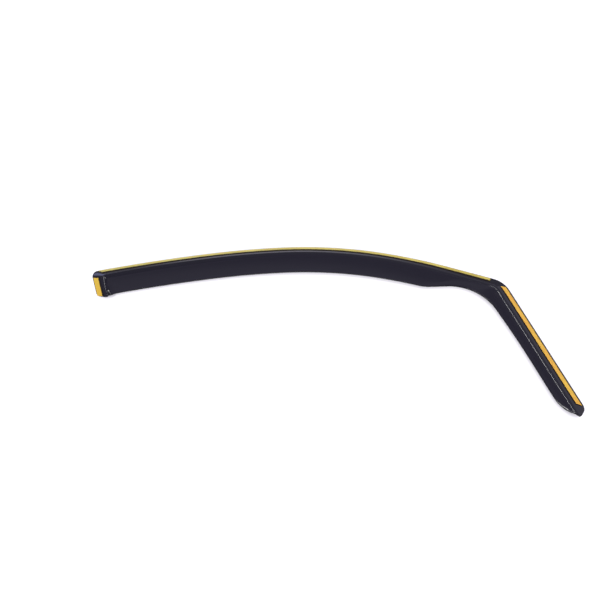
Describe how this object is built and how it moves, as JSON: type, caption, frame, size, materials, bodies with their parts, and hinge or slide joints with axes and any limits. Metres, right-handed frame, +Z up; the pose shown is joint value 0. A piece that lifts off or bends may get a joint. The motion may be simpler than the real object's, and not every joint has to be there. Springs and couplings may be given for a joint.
{
  "type": "window rain deflector",
  "caption": "Smoked acrylic side-window rain deflector with a curved top, a straight front leg and taped fixing flange that sits in the window channel.",
  "frame": {"origin": "middle of the part's plan, on the surface that the free edge of its flange rests on", "axes": "+X runs from the rear end to the front corner, +Y is the roof side, +Z is up, out of the face that carries the tape"},
  "size_m": [0.8098, 0.3171, 0.0191],
  "materials": {
    "smoked_acrylic": "gloss",
    "foam_tape": "matt closed-cell foam",
    "release_liner": "satin film"
  },
  "bodies": {
    "root": {"deflector_shell": "smoked_acrylic", "top_foam_tape": "foam_tape", "top_release_liner": "release_liner", "leg_foam_tape": "foam_tape", "leg_release_liner": "release_liner", "rear_foam_tape": "foam_tape", "rear_release_liner": "release_liner"}
  },
  "joints": []
}
